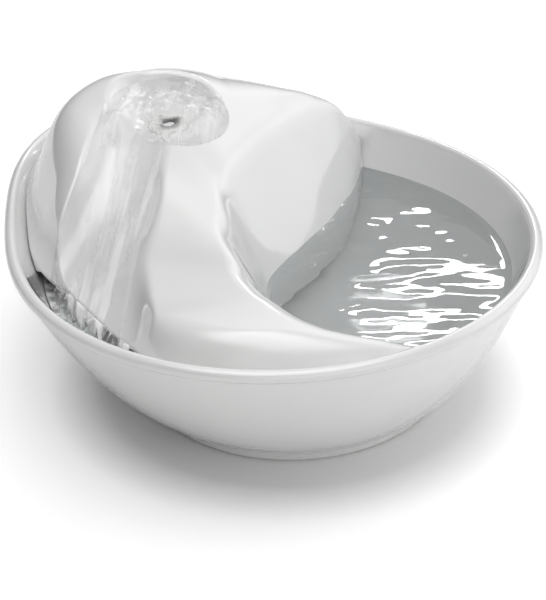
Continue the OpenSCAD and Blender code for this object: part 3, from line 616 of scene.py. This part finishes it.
# ---------- Cover ----------
def make_cover(rows=300, fine=5):
    """The glazed cover, with fine times the CAD's points along each section."""
    loops = [cover_loop(t, fine) for t in np.linspace(0, 1, rows)]
    cols = len(loops[0])
    half = cols // 2
    faces = grid_faces(rows, cols)
    far = (rows - 1) * cols
    for j in range(half - 1):
        quad = (j, j + 1, cols - 2 - j, cols - 1 - j)
        faces += [quad, tuple(far + k for k in reversed(quad))]
    cover = mesh_piece("cover_glazed", np.vstack(loops), faces, "cover", GLAZE, angle=50)
    cut_riser(cover)
    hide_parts("cover")
    return cover


def cut_riser(cover):
    """Opens the hole and the seat for the outlet nozzle."""
    nozzle_r = TUBE_R - TUBE_T - SPIGOT_FIT
    top = float(dish_surface(RISER[None])[0])
    for radius, low in ((nozzle_r + GROMMET_T, top - 20), (FLANGE_R + LIFT_FIT, top)):
        bpy.ops.mesh.primitive_cylinder_add(vertices=64, radius=radius * MM, depth=30 * MM,
                                            location=tuple(place((*RISER, low + 15))))
        cutter = bpy.context.object
        cut = cover.modifiers.new("riser", "BOOLEAN")
        cut.object, cut.operation, cut.solver = cutter, "DIFFERENCE", "EXACT"
        bpy.context.view_layer.objects.active = cover
        bpy.ops.object.modifier_apply(modifier=cut.name)
        bpy.data.objects.remove(cutter)


# ---------- Camera, light and stage ----------
def make_camera():
    """Camera of the photo, from its fitted direction, distance and focal length."""
    az, el, roll = (math.radians(v) for v in (CAMERA_AZIMUTH, CAMERA_ELEVATION, CAMERA_ROLL))
    ahead = Vector((math.sin(az) * math.cos(el), math.cos(az) * math.cos(el), -math.sin(el)))
    right = Vector((math.cos(az), -math.sin(az), 0))
    up = right.cross(ahead)
    side = right * math.cos(roll) + up * math.sin(roll)
    top = up * math.cos(roll) - right * math.sin(roll)
    data = bpy.data.cameras.new("camera")
    data.sensor_fit = "VERTICAL"
    data.sensor_height = SENSOR_H
    data.lens = FOCAL_PX / FRAME_H * data.sensor_height
    camera = bpy.data.objects.new("camera", data)
    bpy.context.scene.collection.objects.link(camera)
    spot = Vector(place(TARGET)) - ahead * CAMERA_DISTANCE * MM
    basis = Matrix((side, top, -ahead)).transposed().to_4x4()
    camera.matrix_world = Matrix.Translation(spot) @ basis
    bpy.context.scene.camera = camera


def make_lamp(name, azimuth, elevation, distance, size, power, aim):
    """An area lamp aimed at a point, from an azimuth counted like the camera's."""
    az, el = math.radians(azimuth), math.radians(elevation)
    aim = Vector(aim)
    away = Vector((-math.sin(az) * math.cos(el), -math.cos(az) * math.cos(el), math.sin(el)))
    data = bpy.data.lights.new(name, "AREA")
    data.shape = "RECTANGLE"
    data.size, data.size_y = size
    data.energy = power
    lamp = bpy.data.objects.new(name, data)
    bpy.context.scene.collection.objects.link(lamp)
    lamp.location = aim + away * distance
    lamp.rotation_euler = away.to_track_quat("Z", "Y").to_euler()


def make_world(level, boxes):
    """Even light with big soft boxes in it, which the camera sees as one pale tone beyond the floor.

    A box is azimuth and elevation as for a lamp, inner and outer half angle, and added strength.
    """
    world = bpy.data.worlds.new("studio")
    bpy.context.scene.world = world
    world.use_nodes = True
    tree = world.node_tree
    light = tree.nodes["Background"]
    light.inputs["Color"].default_value = (1, 1, 1, 1)
    where = tree.nodes.new("ShaderNodeTexCoord").outputs["Generated"]
    total = None
    for azimuth, elevation, inner, outer, strength in boxes:
        az, el = math.radians(azimuth), math.radians(elevation)
        aim = (-math.sin(az) * math.cos(el), -math.cos(az) * math.cos(el), math.sin(el))
        dot = tree.nodes.new("ShaderNodeVectorMath")
        dot.operation = "DOT_PRODUCT"
        dot.inputs[1].default_value = aim
        tree.links.new(where, dot.inputs[0])
        fade = tree.nodes.new("ShaderNodeMapRange")
        fade.interpolation_type = "SMOOTHSTEP"
        fade.inputs["From Min"].default_value = math.cos(math.radians(outer))
        fade.inputs["From Max"].default_value = math.cos(math.radians(inner))
        fade.inputs["To Min"].default_value = 0.0
        fade.inputs["To Max"].default_value = strength
        tree.links.new(dot.outputs["Value"], fade.inputs["Value"])
        add = tree.nodes.new("ShaderNodeMath")
        add.operation = "ADD"
        add.inputs[1].default_value = level
        tree.links.new(fade.outputs["Result"], add.inputs[0])
        if total is not None:
            tree.links.new(total, add.inputs[1])
        total = add.outputs["Value"]
    tree.links.new(total, light.inputs["Strength"])
    shown = tree.nodes.new("ShaderNodeBackground")
    shown.inputs["Strength"].default_value = 1.0
    path = tree.nodes.new("ShaderNodeLightPath")
    mix = tree.nodes.new("ShaderNodeMixShader")
    tree.links.new(path.outputs["Is Camera Ray"], mix.inputs[0])
    tree.links.new(light.outputs["Background"], mix.inputs[1])
    tree.links.new(shown.outputs["Background"], mix.inputs[2])
    tree.links.new(mix.outputs["Shader"], tree.nodes["World Output"].inputs["Surface"])


def make_floor():
    """White floor that keeps the fountain's shadow, and looks a little brighter away from it."""
    f = Finish("floor", (0.93, 0.93, 0.93), 0.9)
    f.vary(f.noise(3, 2.0), (0.925, 0.925, 0.925), (0.935, 0.935, 0.935))
    away = f.distance(Vector(place((*FOOT_C, 0))))
    strength = f.remap(away, LIFT_FROM, LIFT_TO, 0.0, FLOOR_LIFT, "LINEAR")
    lift = f.node("ShaderNodeEmission", {"Color": (1, 1, 1, 1), "Strength": strength})
    path = f.node("ShaderNodeLightPath")
    dark = f.node("ShaderNodeEmission", {"Color": (0, 0, 0, 1), "Strength": 0.0})
    seen = f.node("ShaderNodeMixShader", {0: path.outputs["Is Camera Ray"]})
    f.link(dark.outputs["Emission"], seen.inputs[1])
    f.link(lift.outputs["Emission"], seen.inputs[2])
    total = f.node("ShaderNodeAddShader")
    f.link(f.shader.outputs["BSDF"], total.inputs[0])
    f.link(seen.outputs["Shader"], total.inputs[1])
    f.link(total.outputs["Shader"], f.output.inputs["Surface"])
    bpy.ops.mesh.primitive_plane_add(size=FLOOR_SIZE, location=(0, 0, 0))
    floor = bpy.context.object
    floor.name = "floor"
    floor.data.materials.append(f.material)


# ---------- Water ----------
def wave(x, y, span, layer):
    """Smooth noise from about -1 to 1 over a span in x and y."""
    return noise.noise(Vector((x / span[0], y / span[1], layer)))


def make_pool(steps=480, rings=200):
    """The water in the bowl, out to the glaze, with ripples that spread from the slide."""
    a = np.arange(steps) * 360 / steps
    q = np.linspace(0, 1, 400)
    share = float(np.interp(WATER_Z, inner_z(q), q))
    rim = (FOOT_C + polar(INNER_R0, a)) * (1 - share) + polar(drop_r(wrap(a), RIM_W), a) * share
    points = []
    for k in np.linspace(0.02, 1, rings):
        xy = FOOT_C + (rim - FOOT_C) * k
        edge = np.clip((1 - k) / 0.05, 0, 1)
        z = [WATER_Z + ripple(x, y) * edge + MENISCUS * (1 - edge) ** 2 for x, y in xy]
        points.append(np.column_stack([xy, z]))
    faces = grid_faces(rings, steps)
    faces.append(tuple(range(steps)))
    mesh_piece("pool_water", np.vstack(points), faces, "bowl", POOL)


RIPPLE_TURN = np.array([polar(1.0, RIPPLE_A), polar(1.0, RIPPLE_A + 90)])


def ripple(x, y):
    """Height of the ripples: long crests across the pool, and churned water under the slide's lip."""
    across, away = RIPPLE_TURN @ (x, y)
    swell = wave(across, away, (60, 22), 1.7)
    crest = wave(across, away, (24, 9), 5.1)
    chop = wave(across, away, (9, 5), 9.3)
    sheltered = float(ease((across - CALM_FROM) / CALM_FADE)) * float(ease((away - CALM_AWAY) / CALM_FADE))
    churn = float(ease((-x - LIP_REACH + CHURN_FROM) / CHURN_FADE))
    boil = wave(x, y, (5, 5), 3.3) + 0.5 * wave(x, y, (2.4, 2.4), 8.8)
    return (1 - CALM * sheltered) * (SWELL * swell + CREST * crest + CHOP * chop) + CHURN * churn * boil


def slide_outline(a):
    """Right and left edges of the running water, across the slide, at a distance along it."""
    centre = float((DISH_C - SLIDE_P) @ polar(1.0, SLIDE_A - 90))
    reach = WATER_R if a < 0 else SPILL_R
    chord = WATER_R * math.sqrt(max(1 - (a / reach) ** 2, 0.0001))
    if a <= 0:
        return centre - chord, centre + chord
    flare = SLIDE_FLARE * max(a - FLARE_FROM, 0)
    left = FILM_LEFT + LEFT_SPREAD * flare
    right = FILM_RIGHT - RIGHT_SPREAD * flare
    return (float(smooth_min(centre - chord, right, RIGHT_ROUND)),
            float(-smooth_min(-centre - chord, -left, LEFT_ROUND)))


def running_water(a, c, side):
    """Surface of the water over the dish and the slide; side runs from -1 to 1 between its edges."""
    p = SLIDE_P + a * polar(1.0, SLIDE_A) + c * polar(1.0, SLIDE_A - 90)
    ground = ground_at(p)
    welling = float(ease((MOUND_END - a) / MOUND_END))
    over = float(np.linalg.norm(p - RISER))
    lump = wave(p[0], p[1], (8, 8), 2.2) + 0.6 * wave(p[0], p[1], (3.6, 3.6), 6.4)
    mound = max(MOUND_Z - ground, 0) + welling * (JET * math.exp(-(over / JET_R) ** 2) + LUMPS * lump)
    strand = wave(a, c, (60, 7), 4.4) + 0.35 * wave(a, c, (34, 3.4), 7.7)
    film = FILM_T * (1 + 0.9 * strand) + 0.12 * wave(a, c, (6, 4), 1.1)
    deep = welling * mound + (1 - welling) * film
    brink = max(0.0, 1 - abs(side) ** (10 - 6 * welling))
    deep = float(smooth_min(max(SKIN, deep), MOUND_TOP - ground, 2))
    return p, ground, deep * brink


def ground_at(p):
    """Height of the cover's glaze under a point, with the outlet's hole closed."""
    if np.linalg.norm(p - RISER) < FLANGE_R + 1:
        return float(cut_z(p[None])[0])
    spot, *_ = COVER_TREE.ray_cast(Vector(place((*p, 2 * RIM_Z))), Vector((0, 0, -1)))
    return spot.z / MM if spot else float(cut_z(p[None])[0])


def make_running_water(rows=230, cols=90):
    """One sheet of water that wells up in the dish, spills over and runs down the slide to the lip."""
    start = -WATER_R + 0.02
    lip = (-LIP_REACH - SLIDE_P[0]) / math.cos(math.radians(SLIDE_A))
    slant = math.tan(math.radians(SLIDE_A)) / lip
    top, bottom = [], []
    for k in range(rows):
        a0 = start + (lip - start) * k / (rows - 1)
        right, left = slide_outline(a0)
        for side in np.linspace(-1, 1, cols):
            c = right + (left - right) * (side + 1) / 2
            a = a0 * (1 - slant * c) if a0 > 0 else a0
            p, ground, deep = running_water(a, c, side)
            top.append((*p, ground + deep))
            bottom.append((*p, ground - SUNK))
    return thin_sheet("running_water", top, bottom, rows, cols, "cover", FILM)


def make_curtain(name, cols=220, rows=14):
    """Ragged sheet of water that hangs from the slide's lip."""
    low, high = GAP_SPAN
    front, back = [], []
    for i in range(cols):
        y = low + (high - low) * i / (cols - 1)
        top = ground_at(np.array([-LIP_REACH + 0.6, y])) + 0.4
        ragged = wave(y, 0.3, (3.1, 1), 2.0) + 0.7 * wave(y, 5.0, (1.3, 1), 7.0)
        length = (top - WATER_Z + 1.5) * max(0.14, min(1, 0.42 + 0.75 * ragged))
        for k in range(rows):
            v = k / (rows - 1)
            out = 0.9 + 2.6 * v ** 0.7 + 0.7 * v * wave(y, v * 3, (2.2, 1), 1.0)
            thick = 0.45 * math.sqrt(max(1 - v, 0.01))
            front.append((-LIP_REACH - out - thick, y, top - length * v))
            back.append((-LIP_REACH - out + thick, y, top - length * v))
    return thin_sheet(name, front, back, cols, rows, "cover", FILM)


def thin_sheet(name, front, back, rows, cols, body, material):
    """Closed piece between two grids of points that follow each other."""
    n = rows * cols
    faces = grid_faces(rows, cols, closed=False)
    faces += [tuple(n + i for i in reversed(face)) for face in faces]
    rim = (list(range(cols)) + [k * cols + cols - 1 for k in range(1, rows)]
           + [n - 1 - k for k in range(1, cols)] + [(rows - 1 - k) * cols for k in range(1, rows - 1)])
    faces += [(p, q, n + q, n + p) for p, q in zip(rim, rim[1:] + rim[:1])]
    return mesh_piece(name, np.array(front + back), faces, body, material)


def make_bubbles(count=260):
    """Bubbles that float where the water falls into the gap beside the lip."""
    draw = random.Random(BUBBLE_SEED)
    work = bmesh.new()
    for _ in range(count):
        y = draw.uniform(*GAP_SPAN)
        x = GAP_FROM + (GAP_TO - GAP_FROM) * draw.random() ** 1.3
        size = BUBBLE_MIN + BUBBLE_MORE * draw.random() ** 3
        if bowl_floor(np.array([x, y])) > WATER_Z - size:
            continue
        spot = place((x, y, WATER_Z + ripple(x, y) + 0.25 * size))
        bmesh.ops.create_icosphere(work, subdivisions=2, radius=size * MM,
                                   matrix=Matrix.Translation(Vector(spot)))
    mesh = bpy.data.meshes.new("bubbles")
    work.to_mesh(mesh)
    work.free()
    mesh.shade_smooth()
    mesh.materials.append(BUBBLES)
    piece = bpy.data.objects.new("bubbles", mesh)
    bpy.context.scene.collection.objects.link(piece)
    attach(piece, "bowl")


# ---------- Finishes of the pieces ----------
def dress(node, material):
    mesh = frame["nodes"][node].data
    mesh.materials.clear()
    mesh.materials.append(material)


GLAZE = glaze()
BISCUIT = biscuit()
FINISHES = {
    "glazed_ceramic": GLAZE,
    "white_plastic": moulded("white_plastic", (0.8, 0.8, 0.78), 0.35),
    "grey_rubber": moulded("grey_rubber", (0.3, 0.31, 0.32), 0.6, grain=600),
    "clear_vinyl": vinyl(),
    "housing_plastic": moulded("housing_plastic", (0.06, 0.065, 0.07), 0.42),
    "foam": open_cells("foam", (0.05, 0.05, 0.055), (0.2, 0.21, 0.22), 700.0, 0.0008),
    "charcoal": open_cells("charcoal", (0.005, 0.005, 0.006), (0.035, 0.035, 0.038), 450.0, 0.0006),
    "pump_plastic": moulded("pump_plastic", (0.025, 0.03, 0.036), 0.4),
    "core_steel": laminations(),
    "coil_copper": winding(),
    "epoxy": moulded("epoxy", (0.015, 0.015, 0.017), 0.15, grain=90, depth=0.0001),
    "black_rubber": moulded("black_rubber", (0.02, 0.02, 0.02), 0.65, grain=500),
    "shaft_ceramic": moulded("shaft_ceramic", (0.78, 0.74, 0.66), 0.2),
    "ferrite": moulded("ferrite", (0.05, 0.05, 0.052), 0.55, grain=400),
    "knob_plastic": moulded("knob_plastic", (0.03, 0.16, 0.22), 0.35),
}
for part in frame["record"]["subparts"]:
    dress(part["node"], FINISHES[part["material_slot"]])
dress("outlet_nozzle", nozzle_with_bore_shade())

# ---------- Making the scene ----------
make_bowl()
COVER_TREE = BVHTree.FromObject(make_cover(), bpy.context.evaluated_depsgraph_get())
POOL = water("pool_water", (0.5, 0.52, 0.52), 0.8, foam_in_gap, (0.9, 0.92, 0.92))
FILM = water("running_water", (1, 1, 1), 0.95, foam_and_highlight_streaks, (1, 1, 1))
BUBBLES = water("bubbles", (0.86, 0.9, 0.89), 0.5, None, (0.95, 0.96, 0.96))
make_pool()
make_running_water()
make_curtain("lip_curtain")
make_bubbles()

make_camera()
make_world(EVEN_LIGHT, SOFT_BOXES)
make_lamp("window", *WINDOW)
make_floor()
bpy.context.scene.view_settings.view_transform = "Standard"
